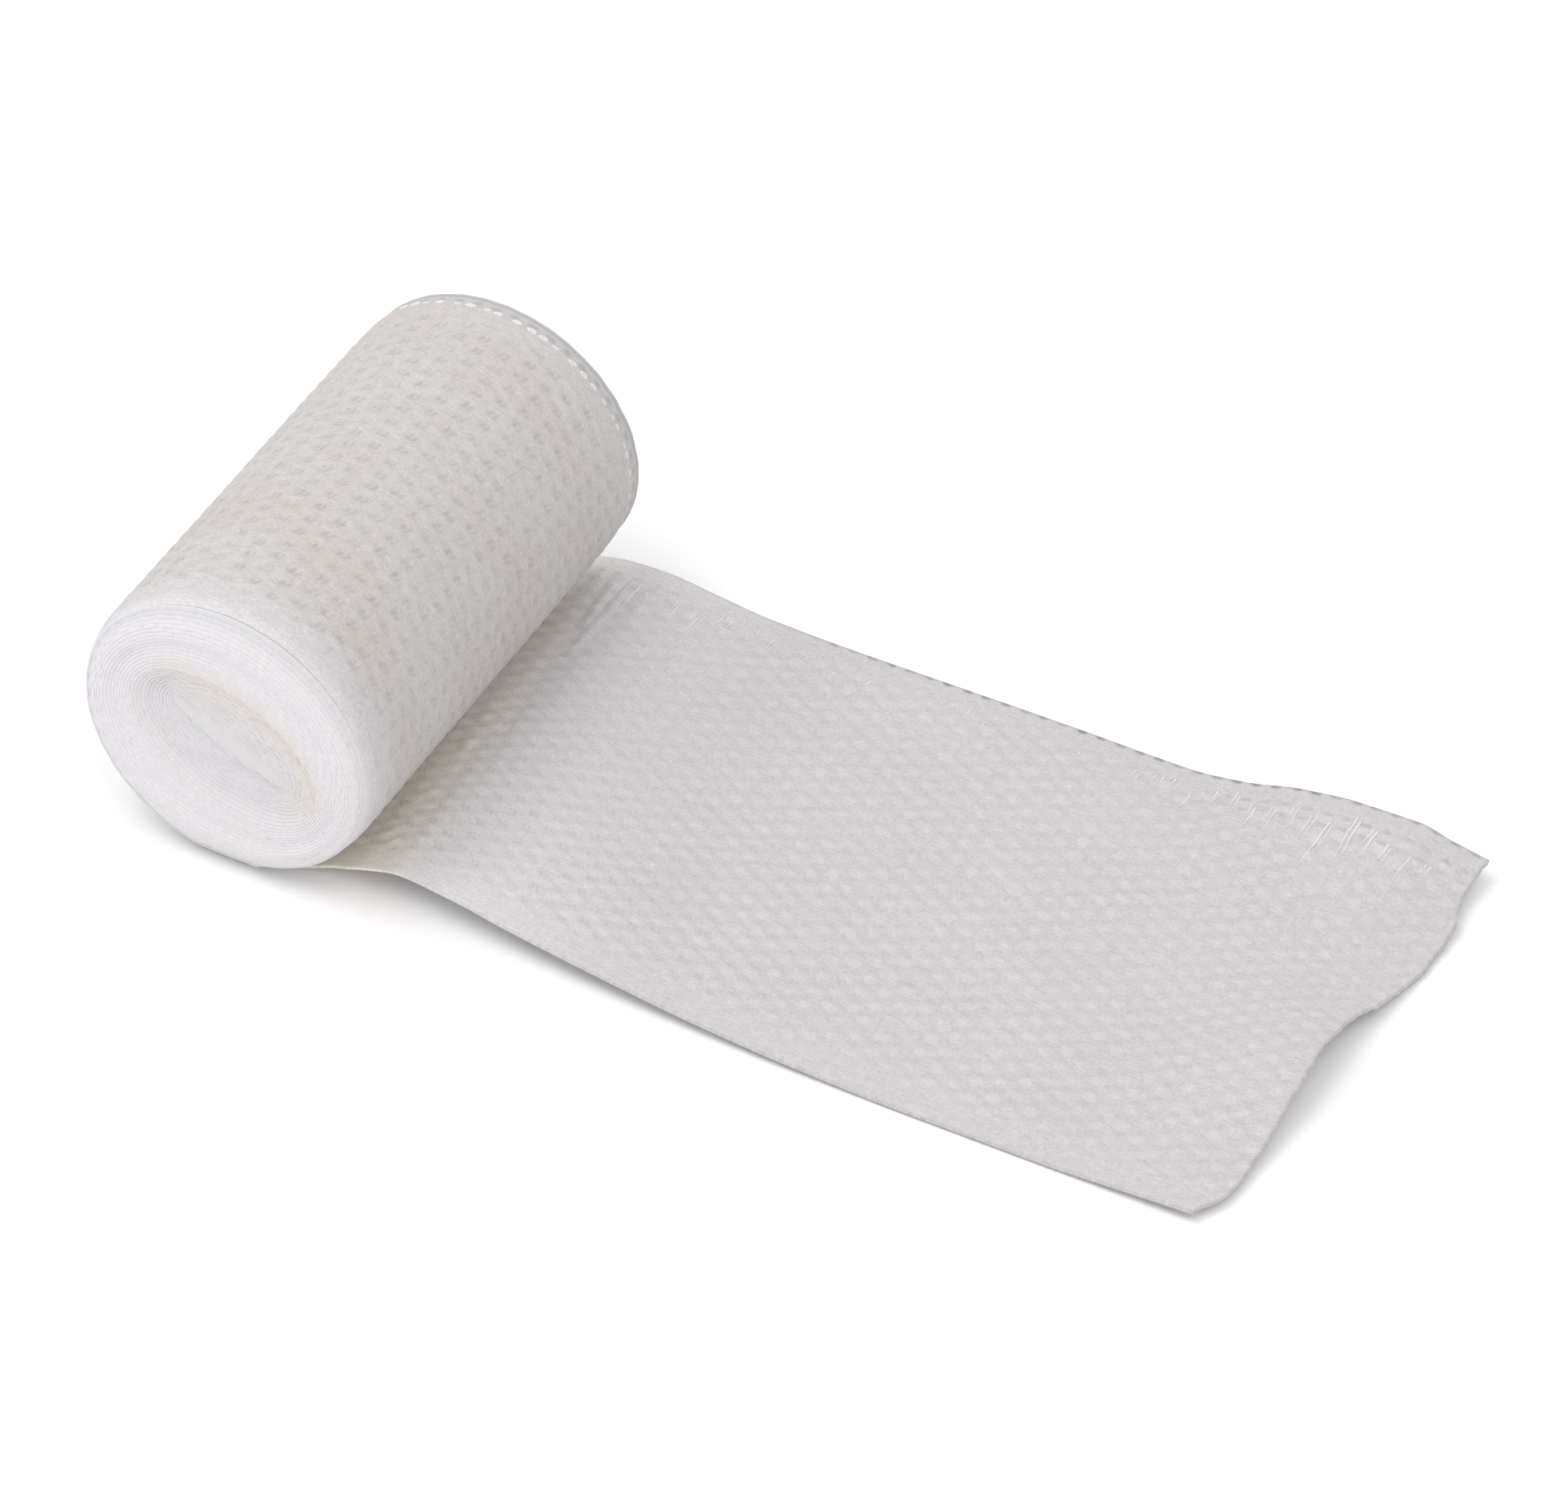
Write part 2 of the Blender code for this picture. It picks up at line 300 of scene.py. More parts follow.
def knit_height(along, across):
    """Height of the knit in millimetres, from the relaxed strip's own measures."""
    row = along / BLISTER_PITCH + WANDER * soft_noise(along / 4.0, across / 4.0, 3)
    wale = across / WALE_PITCH + WANDER * soft_noise(along / 5.0, across / 4.0, 4)
    wave = np.cos(2.0 * math.pi * row) * np.cos(2.0 * math.pi * wale)
    strength = 1.0 + PATCHINESS * soft_noise(along / 3.0, across / 3.0, 5)
    blister = BLISTER_HEIGHT * strength * np.clip(wave, 0.0, 1.0) ** BLISTER_POINT
    pit = PIT_DEPTH * strength * np.clip(-wave, 0.0, 1.0)
    near_band = smooth_step((across - NEAR_PLAIN_BAND) / BAND_SOFTNESS + 0.5)
    far_band = smooth_step((STRIP_WIDTH - FAR_PLAIN_BAND - across) / BAND_SOFTNESS + 0.5)
    return (blister - pit) * near_band * far_band


trial = knit_height(*np.mgrid[0.0:60.0:0.5, 0.0:75.0:0.5])
print("knit height between", round(float(trial.min()), 3), "and", round(float(trial.max()), 3), "mm")

# %% [markdown]
# ## The strip's surface
# The lower face of the loose end is the outer face of the roll. A point of it is found from three
# measures: how far along the strip it is, how far across, and how far above the face. Along counts
# from the place where the strip leaves the roll, forwards on the loose end and backwards on the roll.
# The small creases near the crevice are placed one by one.

# %% Points of the loose end
CREASES = (
    # start_along, start_across, end_along, end_across, height, width
    (17.0, 36.0, 18.6, 20.0, 0.40, 0.50),
    (19.6, 34.0, 19.3, 14.0, 0.36, 0.50),
    (22.4, 35.0, 22.9, 25.0, 0.24, 0.45),
    (14.6, 36.5, 15.6, 29.0, 0.24, 0.50),
    (15.2, -26.4, 18.8, -21.6, 0.20, 0.50),
    (16.6, -29.2, 18.8, -25.4, 0.17, 0.45),
    (14.2, -21.5, 18.0, -14.0, 0.09, 0.60),
    (15.6, -9.0, 18.0, 2.0, 0.12, 0.65),
)
CREASE_FADE = 0.3
SETTLE, LIFT_LESS = 0.15, 0.05
RIPPLE, RIPPLE_FROM, RIPPLE_SOFTNESS = 0.16, 12.0, 30.0


def crease_height(along, across):
    """Small soft ridges, each along a short line and fading out at its ends."""
    total = np.zeros(np.shape(along))
    for start_along, start_across, end_along, end_across, height, width in CREASES:
        line = np.array((end_along - start_along, end_across - start_across))
        length = np.hypot(*line)
        line = line / length
        forward_part = (along - start_along) * line[0] + (across - start_across) * line[1]
        side_part = (along - start_along) * line[1] - (across - start_across) * line[0]
        fade = smooth_step(forward_part / (CREASE_FADE * length))
        fade = fade * smooth_step((length - forward_part) / (CREASE_FADE * length))
        total += height * fade * np.exp(-((side_part / width) ** 2))
    return total


def loose_lift(along, across):
    """How high the lower face of the loose end lies above the surface."""
    strip = [read_table(STRIP_ROWS, column, along) for column in range(1, 6)]
    near_edge, far_edge, near_lift, middle_lift, far_lift = strip
    near_part = np.exp(-(((across - near_edge) / NEAR_LIFT_WIDTH) ** 2))
    far_part = np.exp(-(((far_edge - across) / FAR_WAVE_WIDTH) ** 2))
    reach = read_table(CUT_ROWS, 1, across)
    cut_part = smooth_step(1.0 - (reach - along) / CUT_WAVE_LENGTH)
    lift = (
        middle_lift
        + (near_lift - middle_lift) * near_part
        + (far_lift - middle_lift) * far_part
        + read_table(CUT_ROWS, 2, across) * cut_part
    )
    off_the_roll = smooth_step((along - RIPPLE_FROM) / RIPPLE_SOFTNESS)
    ripple = RIPPLE * (1.0 + soft_noise(along / 9.0, across / 7.0, 11)) * off_the_roll
    return np.maximum(lift - LIFT_LESS, 0.0) + ripple + crease_height(along, across)


def loose_point(along, across, above):
    """A point of the loose end, in millimetres from the roll's line."""
    return np.stack((along, across, loose_lift(along, across) + above), axis=-1)


print("the hump's lower face rises", round(float(loose_lift(22.0, -33.0)), 2), "mm")

# %% [markdown]
# On the roll the same strip follows a spiral. The roll was pressed flat while it was soft, so its core
# is a long slit and the turns grow rounder towards the outside. Each turn is the round outline squeezed
# towards the slit, by an amount that says how far out the turn is.

# %% Points of the wound strip
CORE_HALF_LENGTH = 7.0
CORE_HALF_HEIGHT = 0.35
CORE_SHIFT = (1.5, -0.4)
CORE_TILT = math.radians(-26.0)
CORE_FLATTENING = 1.15


def wound_line(turns, outward):
    """The strip's outer face seen along the roll's axis, after a number of turns back from the floor."""
    angle = 2.0 * math.pi * turns - math.asin((LEAVE_X - ROLL_CENTRE_X) / ROLL_RADIUS)
    x = -ROLL_RADIUS * np.sin(angle)
    z = np.maximum(-ROLL_RADIUS * np.cos(angle), -ROLL_CENTRE_Z)
    tilt_x, tilt_z = math.cos(CORE_TILT), math.sin(CORE_TILT)
    long_way = x * tilt_x + z * tilt_z
    short_way = z * tilt_x - x * tilt_z
    long_way = long_way * (CORE_HALF_LENGTH + (ROLL_RADIUS - CORE_HALF_LENGTH) * outward) / ROLL_RADIUS
    grown = np.clip(outward, 0.0, None) ** CORE_FLATTENING
    short_way = short_way * (CORE_HALF_HEIGHT + (ROLL_RADIUS - CORE_HALF_HEIGHT) * grown) / ROLL_RADIUS
    x = long_way * tilt_x - short_way * tilt_z + CORE_SHIFT[0] * (1.0 - outward)
    z = long_way * tilt_z + short_way * tilt_x + CORE_SHIFT[1] * (1.0 - outward)
    return np.stack((ROLL_CENTRE_X + x, ROLL_CENTRE_Z + z), axis=-1)


def inward_normals(line):
    """Unit normals towards the roll's middle, for points that follow the winding inwards."""
    run = np.gradient(line, axis=0)
    run /= np.linalg.norm(run, axis=1, keepdims=True)
    return np.stack((run[:, 1], -run[:, 0]), axis=-1)


def inside_line(line, normals, depth, across):
    """Points at a depth inside the strip's outer face, at places across it."""
    x, z = (line[..., axis] + normals[..., axis] * depth for axis in (0, 1))
    return np.stack((x, np.broadcast_to(across, x.shape), z), axis=-1)


print("roll girth", round(ROLL_GIRTH, 1), "mm")

# %% [markdown]
# ## Laying a flat grid on the strip
# A sheet starts as a plain grid, one face for each half millimetre of cloth, which is fine enough for
# the blisters. Each point is then moved to its place on the strip, and the cloth's own measures are
# kept as a UV map in millimetres, so that the yarns and the blisters of the finish follow the cloth.
# Solidify gives the thickness, and its rim closes the edges.

# %% Grid and cloth helpers
UV_NAME = "cloth_mm"
CLOTH_COLUMNS = 150


def spread(rows, columns, last=1.0):
    """Even steps down a grid's rows, from 0 to last, and across its columns, from 0 to 1."""
    return np.meshgrid(np.linspace(0.0, last, rows), np.linspace(0.0, 1.0, columns), indexing="ij")


def edit_everything():
    """Opens the active piece for editing, with all of it selected."""
    bpy.ops.object.mode_set(mode="EDIT")
    bpy.ops.mesh.select_all(action="SELECT")


def add_grid(name, rows, columns):
    """A new grid object with its points in order, row by row."""
    bpy.ops.object.select_all(action="DESELECT")
    bpy.ops.mesh.primitive_grid_add(x_subdivisions=columns - 1, y_subdivisions=rows - 1, size=1.0)
    sheet = bpy.context.active_object
    sheet.name = name
    sheet.data.name = name
    return sheet


def place_points(sheet, points, cloth):
    """Moves the points to their places in the solids' frame and stores the cloth's measures."""
    world = (points.reshape(-1, 3) + np.array(FOOTING)) * MM
    sheet.data.vertices.foreach_set("co", world.astype(np.float32).ravel())
    layer = sheet.data.uv_layers.active or sheet.data.uv_layers.new()
    layer.name = UV_NAME
    corner = np.empty(len(sheet.data.loops), dtype=np.int32)
    sheet.data.loops.foreach_get("vertex_index", corner)
    layer.data.foreach_set("uv", cloth.reshape(-1, 2)[corner].astype(np.float32).ravel())
    sheet.data.update()


def thicken(sheet, thickness):
    """Gives a sheet its thickness above the face that it was laid on, and smooth shading."""
    solidify = sheet.modifiers.new("thickness", "SOLIDIFY")
    solidify.thickness = thickness * MM
    solidify.offset = 1.0
    bpy.context.view_layer.objects.active = sheet
    bpy.ops.object.modifier_apply(modifier=solidify.name)
    sheet.data.shade_smooth()


print("a cloth's faces are", round(STRIP_WIDTH / (CLOTH_COLUMNS - 1), 2), "mm wide")

# %% [markdown]
# ## The loose end
# The grid's rows run across the strip. Each row stands at the same share of the way to the cut, so the
# last row is the cut edge itself, swings and all.

# %% Loose cloth
LOOSE_ROWS = 274
LOOSE_RELIEF = 0.75
CUT_FRAY, FRAY_FINENESS, FRAY_POWER = 0.30, 2.4, 16
ROW_SHEAR, ROW_SWING, ROW_SWING_WIDTH = 0.09, 0.7, 13.0


def cloth_shear(across):
    """The rows of blisters are not quite square to the strip."""
    return ROW_SHEAR * across + ROW_SWING * np.sin(across / ROW_SWING_WIDTH)


def loose_measures(rows, columns):
    """Along, across in place, and the relaxed strip's own measures for a grid of the loose end."""
    share_along, share_across = spread(rows, columns)
    guess = LEAVE_X + share_along * (USUAL_REACH - LEAVE_X)
    across = between_edges(STRIP_ROWS, guess, share_across)
    along = LEAVE_X + share_along * (read_table(CUT_ROWS, 1, across) - LEAVE_X)
    along = along + CUT_FRAY * soft_noise(across * FRAY_FINENESS, 0.0, 61) * share_along**FRAY_POWER
    across = between_edges(STRIP_ROWS, along, share_across)
    return along, across, share_across * STRIP_WIDTH


along, across, relaxed_across = loose_measures(LOOSE_ROWS, CLOTH_COLUMNS)
relaxed_along = along - LEAVE_X + cloth_shear(across)
height = SETTLE + LOOSE_RELIEF * knit_height(relaxed_along, relaxed_across)
loose_cloth = add_grid("loose_cloth", LOOSE_ROWS, CLOTH_COLUMNS)
place_points(
    loose_cloth,
    loose_point(along, across, height),
    np.stack((relaxed_along, relaxed_across), axis=-1),
)
normal_up = loose_cloth.data.polygons[0].normal.z
if normal_up < 0.0:
    loose_cloth.data.flip_normals()
thicken(loose_cloth, CLOTH_THICKNESS)
print("loose cloth:", len(loose_cloth.data.polygons), "faces, grid normal z was", round(normal_up, 2))

# %% [markdown]
# ## The outermost turn
# The same strip goes on from the roll's footing, up its left side, over the top and down into the
# crevice, where it slips under the loose end's hump and becomes the next turn. Its two edges curl in
# over the shoulders of the turns inside it, the near one more than the far one. The rim stays sharp,
# so that the light falls on it as on a flat edge.

# %% Outer turn
OUTER_ROWS = 272
OUTER_TURNS = 1.03
NEAR_CURL, NEAR_CURL_WIDTH = 0.75, 3.2
FAR_CURL, FAR_CURL_WIDTH = 0.22, 1.6
TURN_DRAW_IN = 0.72
BOW, BOW_FROM, BOW_SOFTNESS = -2.2, 34.0, 60.0
SWELL = 0.10
RIM_ANGLE = math.radians(60.0)
# turns from the footing until each of these has grown, or has faded
CURL_TURNS, SWELL_TURNS, SHEAR_TURNS, BOW_TURNS = 0.15, 0.2, 0.3, 0.4


def edge_curl(relaxed_across, turns):
    """How far the outermost turn's edges curl in towards the roll's middle."""
    near = NEAR_CURL * np.clip(1.0 - relaxed_across / NEAR_CURL_WIDTH, 0.0, 1.0) ** 2
    far = FAR_CURL * np.clip(1.0 - (STRIP_WIDTH - relaxed_across) / FAR_CURL_WIDTH, 0.0, 1.0) ** 2
    return (near + far) * smooth_step(turns / CURL_TURNS)


def outer_line(turns):
    """The outermost turn's face, which draws in a little towards its end."""
    return wound_line(turns, 1.0 - TURN_DRAW_IN * turns**3 / ROLL_RADIUS)


def outer_measures(rows, columns):
    """Turns back from the floor, place across, and the relaxed strip's measures on the outermost turn."""
    turns, share_across = spread(rows, columns, OUTER_TURNS)
    across = between_edges(OUTER_TURN_ROWS, turns, share_across)
    relaxed_across = share_across * STRIP_WIDTH
    bow = BOW * smooth_step((relaxed_across - BOW_FROM) / BOW_SOFTNESS) * smooth_step(turns / BOW_TURNS)
    shear = cloth_shear(across) * (1.0 - smooth_step(turns / SHEAR_TURNS))
    relaxed_along = bow + shear - turns * ROLL_GIRTH * BLISTER_PITCH / PULLED_PITCH
    return turns, across, relaxed_along, relaxed_across


turns, across, relaxed_along, relaxed_across = outer_measures(OUTER_ROWS, CLOTH_COLUMNS)
line = outer_line(turns[:, 0])
normals = inward_normals(line)
swell = SWELL * soft_noise(turns * 9.0, across / 11.0, 21) * smooth_step(turns / SWELL_TURNS)
depth = SETTLE + knit_height(relaxed_along, relaxed_across) + edge_curl(relaxed_across, turns) + swell
points = inside_line(line[:, None], normals[:, None], depth, across)
outer_turn = add_grid("outer_turn", OUTER_ROWS, CLOTH_COLUMNS)
place_points(outer_turn, points, np.stack((relaxed_along, relaxed_across), axis=-1))
roll_axis = (Vector((ROLL_CENTRE_X, 0.0, ROLL_CENTRE_Z)) + FOOTING) * MM
middle_face = outer_turn.data.polygons[len(outer_turn.data.polygons) // 2]
towards_axis = roll_axis - middle_face.center
if middle_face.normal.x * towards_axis.x + middle_face.normal.z * towards_axis.z < 0.0:
    outer_turn.data.flip_normals()
thicken(outer_turn, CLOTH_THICKNESS)
bpy.ops.object.select_all(action="DESELECT")
outer_turn.select_set(True)
bpy.ops.object.shade_smooth_by_angle(angle=RIM_ANGLE)
mean_depth = round(float(depth.mean()), 2)
print("outer turn:", len(outer_turn.data.polygons), "faces, mean depth", mean_depth, "mm")

# %% [markdown]
# ## The inner turns
# About thirty-five more turns fill the roll. Only their edges show, at the two ends, so the ribbon has
# many rows near its edges and few in its middle. Its selvedges are fuller than its body and fill the
# space between two turns, so that the end looks like one soft disc with faint rings. Each edge is
# scalloped by the knit's own loops. Round the core the turns are crumpled and stand further in, and the
# innermost fold stands out again as a soft ridge.

# %% Inner turns
INNER_TURNS = 35
RUN_STEP = 0.62
FIRST_OUTWARD, SHOULDER_OUTWARD, CORE_OUTWARD, FOLD_OUTWARD = 0.972, 0.84, 0.42, 0.09
FINE_STEPS = 30001
THINNEST, THICKEST = 0.24, 0.75
# distance from the edge, fullness of the section there
NEAR_SECTION = ((0.0, 0.78), (0.014, 0.93), (0.06, 0.99), (1.6, 1.0), (4.0, 0.8))
FAR_SECTION = ((0.0, 0.76), (0.02, 0.92), (0.10, 0.99), (3.5, 0.8))
# turns between two rings, height of a ring
RING_ROWS = ((2.3, 0.13), (0.5, 0.03))
SECTION_FILL = 0.995
TIP_LEAN, LEAN_DEPTH = 0.30, 1.2
TIP_FUZZ = 0.04
LOOP_SCALLOP, SCALLOP_PITCH = 0.03, 3.1
END_CRUMPLE, CORE_CRUMPLE, CRUMPLE_SIZE = 0.10, 0.35, 0.9
MERGE_DISTANCE = 0.000002


def inner_line(turns):
    """The strip's outer face on the inner turns, and how far out it is."""
    outward = np.clip(FIRST_OUTWARD * (1.0 - (turns - 1.0) / INNER_TURNS), 0.0, 1.0)
    return wound_line(turns, outward), outward


fine_turns = np.linspace(1.0, 1.0 + INNER_TURNS, FINE_STEPS)
fine_line, _ = inner_line(fine_turns)
fine_run = np.concatenate(([0.0], np.cumsum(np.linalg.norm(np.diff(fine_line, axis=0), axis=1))))
steps = int(fine_run[-1] / RUN_STEP)
run = np.linspace(0.0, fine_run[-1], steps)
turns = np.interp(run, fine_run, fine_turns)
line, outward = inner_line(turns)
normals = inward_normals(line)
next_turns = np.minimum(turns + 1.0, 1.0 + INNER_TURNS)
next_line, next_outward = inner_line(next_turns)
pitch = np.clip(np.abs(np.sum((next_line - line) * normals, axis=1)), THINNEST, THICKEST)


def tip_pair(column, seed):
    """How far out an edge of the ribbon stands all along its run, at its outer and its inner face."""
    random = np.random.default_rng(seed)
    rings = []
    for spacing, amount in RING_ROWS:
        marks = np.arange(0.0, INNER_TURNS + 4.0, spacing)
        rings.append((marks, random.uniform(-amount, amount, len(marks))))
    scallop = np.sin(2.0 * math.pi * run / SCALLOP_PITCH + 5.0 * np.sin(run / 41.0)) * LOOP_SCALLOP
    fuzz = TIP_FUZZ * soft_noise(run * 3.7, turns * 9.0, seed + 1)
    pair = []
    for at, out, place in ((turns, outward, line), (next_turns, next_outward, next_line)):
        tips = read_table(END_ROWS, column, out) + scallop + fuzz
        for marks, heights in rings:
            tips = tips + np.interp(at, marks, heights)
        crumple = END_CRUMPLE + CORE_CRUMPLE * smooth_step((CORE_OUTWARD - out) / 0.06)
        pair.append(tips + crumple * soft_noise(*(place / CRUMPLE_SIZE).T, seed + 2))
    return pair


near_pair = [-tips for tips in tip_pair(1, 31)]
far_pair = tip_pair(2, 41)
shoulder = TIP_LEAN * smooth_step((outward - SHOULDER_OUTWARD) / 0.14)
section = []
for distance, fullness in NEAR_SECTION:
    bend = shoulder * math.exp(-distance / LEAN_DEPTH)
    section.append((fullness, bend, [tips + distance for tips in near_pair], distance))
for distance, fullness in reversed(FAR_SECTION):
    section.append((fullness, 0.0, [tips - distance for tips in far_pair], STRIP_WIDTH - distance))
half = len(section)
points = np.empty((steps, 2 * half + 1, 3))
cloth = np.empty((steps, 2 * half + 1, 2))
for column, (fullness, bend, places, cloth_across) in enumerate(section):
    thickness = SECTION_FILL * pitch * fullness
    shallow = 0.5 * (SECTION_FILL * pitch - thickness) + bend
    faces = (column, shallow, places[0]), (2 * half - 1 - column, shallow + thickness, places[1])
    for face, depth, place in faces:
        points[:, face] = inside_line(line, normals, depth, place)
        cloth[:, face, 0] = run
        cloth[:, face, 1] = cloth_across
points[:, -1] = points[:, 0]
cloth[:, -1] = cloth[:, 0]
print("inner turns:", steps, "rows,", round(run[-1]), "mm of strip")

# %% [markdown]
# The ribbon is a long tube. The last column of its grid lies on the first one and is merged with it, and
# a face closes each of its two ends. The finish needs to know where the core and its fold begin.

# %% Close the ribbon's section
inner_turns = add_grid("inner_turns", steps, 2 * half + 1)
place_points(inner_turns, points, cloth)
edit_everything()
bpy.ops.mesh.remove_doubles(threshold=MERGE_DISTANCE)
bpy.ops.mesh.select_all(action="DESELECT")
bpy.ops.mesh.select_non_manifold()
bpy.ops.mesh.edge_face_add()
bpy.ops.mesh.select_all(action="SELECT")
bpy.ops.mesh.normals_make_consistent(inside=False)
bpy.ops.object.mode_set(mode="OBJECT")
inner_turns.data.shade_smooth()
run_at_eye = float(np.interp(-CORE_OUTWARD, -outward, run))
run_at_fold = float(np.interp(-FOLD_OUTWARD, -outward, run))
print("inner turns:", len(inner_turns.data.polygons), "faces; the core starts at", round(run_at_eye), "mm")

# %% [markdown]
# The winding began by folding the strip's first few centimetres over themselves. The edges of that fold
# show at the two ends as a soft ridge along the slit, so each is made from a ball, pressed flat and
# turned to the slit's own angle.

# %% Innermost fold
FOLD_HALF_SIZES = (10.4, 1.3, 1.7)
FOLD_CRUMPLE = 0.16
FOLD_ENDS = (("near_fold", -37.12), ("far_fold", 30.65))
folds = []
for name, fold_middle in FOLD_ENDS:
    bpy.ops.object.select_all(action="DESELECT")
    bpy.ops.mesh.primitive_uv_sphere_add(segments=64, ring_count=32, radius=MM)
    fold = bpy.context.active_object
    fold.name = name
    edit_everything()
    bpy.ops.transform.resize(value=FOLD_HALF_SIZES)
    bpy.ops.object.mode_set(mode="OBJECT")
    for vertex in fold.data.vertices:
        long_way, short_way = vertex.co.x / MM, vertex.co.z / MM
        vertex.co.y += FOLD_CRUMPLE * MM * float(soft_noise(long_way / 1.1, short_way / 0.8, 71))
    place = Vector((ROLL_CENTRE_X + CORE_SHIFT[0], fold_middle, ROLL_CENTRE_Z + CORE_SHIFT[1]))
    turned = Matrix.Rotation(-CORE_TILT, 4, "Y")
    fold.data.transform(Matrix.Translation((place + FOOTING) * MM) @ turned)
    fold.data.shade_smooth()
    folds.append(fold)
print("folds:", [(fold.name, len(fold.data.polygons)) for fold in folds])

# %% [markdown]
# ## Selvedge loops and ladder threads
# The knitting yarn turns back at the far selvedge in small loops, and beside it single yarns run
# straight in from the edge like the rungs of a ladder. One loop and one rung are modelled from
# primitives, and copies of them are laid on the strip by its own measures.

# %% One loop and one rung
LOOP_WIDE, LOOP_DEEP, LOOP_YARN = 0.50, 0.27, 0.21
RUNG_YARN = 0.10
RUNG_CUTS = 12


def mesh_points(piece):
    """A piece's points and its faces, and the piece is removed."""
    points = np.array([vertex.co for vertex in piece.data.vertices])
    faces = [tuple(face.vertices) for face in piece.data.polygons]
    bpy.data.objects.remove(piece, do_unlink=True)
    return points, faces


bpy.ops.object.select_all(action="DESELECT")
bpy.ops.mesh.primitive_torus_add(
    major_segments=12, minor_segments=6, major_radius=LOOP_DEEP, minor_radius=LOOP_YARN
)
edit_everything()
bpy.ops.transform.resize(value=(LOOP_WIDE / LOOP_DEEP, 1.0, 1.0))
bpy.ops.object.mode_set(mode="OBJECT")
loop_points, loop_faces = mesh_points(bpy.context.active_object)

bpy.ops.mesh.primitive_cylinder_add(vertices=6, radius=RUNG_YARN, depth=1.0, end_fill_type="NGON")
rung = bpy.context.active_object
edit_everything()
bpy.ops.transform.rotate(value=math.pi / 2.0, orient_axis="X", center_override=(0.0, 0.0, 0.0))
for cut in range(1, RUNG_CUTS):
    bpy.ops.mesh.select_all(action="SELECT")
    bpy.ops.mesh.bisect(plane_co=(0.0, -0.5 + cut / RUNG_CUTS, 0.0), plane_no=(0.0, 1.0, 0.0))
bpy.ops.object.mode_set(mode="OBJECT")
rung_points, rung_faces = mesh_points(rung)
print("loop", len(loop_faces), "faces, rung", len(rung_faces), "faces")

# %% [markdown]
# A copy is laid by reading its own x as a distance along the strip, its y as a distance in from the
# edge, and its z as a height above the cloth, and finding that point on the strip.

# %% Lay copies on the strip
EDGE_STEPS = 1200


def on_loose(along, from_edge, above):
    """Points of the loose end at distances in from its far edge."""
    return loose_point(along, read_table(STRIP_ROWS, 2, along) - from_edge, above)


def on_roll(back, from_edge, above):
    """Points at the outermost turn's far edge: back is the distance wound back from the floor."""
    turns = back / ROLL_GIRTH
    fine = np.linspace(0.0, OUTER_TURNS, EDGE_STEPS)
    line = outer_line(fine)
    read = [np.interp(turns, fine, column) for column in (*line.T, *inward_normals(line).T)]
    place, normals = np.stack(read[:2], axis=-1), np.stack(read[2:], axis=-1)
    across = read_table(OUTER_TURN_ROWS, 2, turns) - from_edge
    depth = SETTLE + edge_curl(STRIP_WIDTH - np.clip(from_edge, 0.0, None), turns) + above
    return inside_line(place, normals, depth, across)


def join_copies(name, copies, faces):
    """One mesh of many copies, each given as its points in millimetres."""
    size = len(copies[0])
    everything = (np.concatenate(copies) + np.array(FOOTING)) * MM
    all_faces = []
    for number in range(len(copies)):
        all_faces += [tuple(corner + number * size for corner in face) for face in faces]
    mesh = bpy.data.meshes.new(name)
    mesh.from_pydata(everything.tolist(), [], all_faces)
    mesh.update()
    joined = bpy.data.objects.new(name, mesh)
    bpy.context.scene.collection.objects.link(joined)
    bpy.ops.object.select_all(action="DESELECT")
    joined.select_set(True)
    bpy.context.view_layer.objects.active = joined
    edit_everything()
    bpy.ops.mesh.normals_make_consistent(inside=False)
    bpy.ops.object.mode_set(mode="OBJECT")
    joined.data.shade_smooth()
    return joined


print("30 mm back from the floor the far edge lies at", on_roll(30.0, 0.0, 0.0).round(1))

# %% [markdown]
# Three loops stand on each repeat of the pulled knit. No two are quite the same on the real strip, so
# each copy has a size, a place and a lean of its own.

# %% Selvedge loops
LOOP_INSET, LOOP_LIFT, LOOP_MARGIN = 0.15, 0.10, 2.0
random = np.random.default_rng(12)
loops = []
for back in np.arange(LOOP_MARGIN, OUTER_TURNS * ROLL_GIRTH - LOOP_MARGIN, PULLED_PITCH / 3.0):
    size = random.uniform(0.65, 1.10)
    place = back + random.uniform(-0.4, 0.4)
    lean = random.uniform(-0.4, 0.4)
    x, y, z = (loop_points * size).T
    loops.append(on_roll(place + x + lean * y, LOOP_INSET + y, LOOP_LIFT + z))
turn_loops = join_copies("turn_loops", loops, loop_faces)
print("loops:", len(loops), "on the roll")

# %% [markdown]
# A rung is one or two yarns, and beside the hump, where the knit is drawn together, up to two more stray
# next to them. The table says how long the rungs are, how many of them there are and how loose they lie.
# A yarn grows thinner towards its inner end.

# %% Ladder rungs beside the far selvedge
RUNG_ROWS = (
    # along, length, share_present, looseness
    (13.0, 7.0, 1.0, 0.6),
    (18.0, 8.0, 1.0, 0.6),
    (26.0, 6.5, 1.0, 0.6),
    (33.0, 5.0, 0.9, 0.6),
    (40.0, 2.5, 0.35, 0.6),
    (60.0, 1.6, 0.06, 0.8),
    (90.0, 2.0, 0.2, 0.4),
    (102.0, 3.5, 0.8, 0.2),
    (110.0, 6.0, 1.0, 0.0),
    (120.0, 8.5, 1.0, 0.0),
    (127.0, 7.5, 1.0, 0.0),
    (133.0, 4.0, 0.8, 0.0),
    (138.0, 2.5, 0.4, 0.0),
)
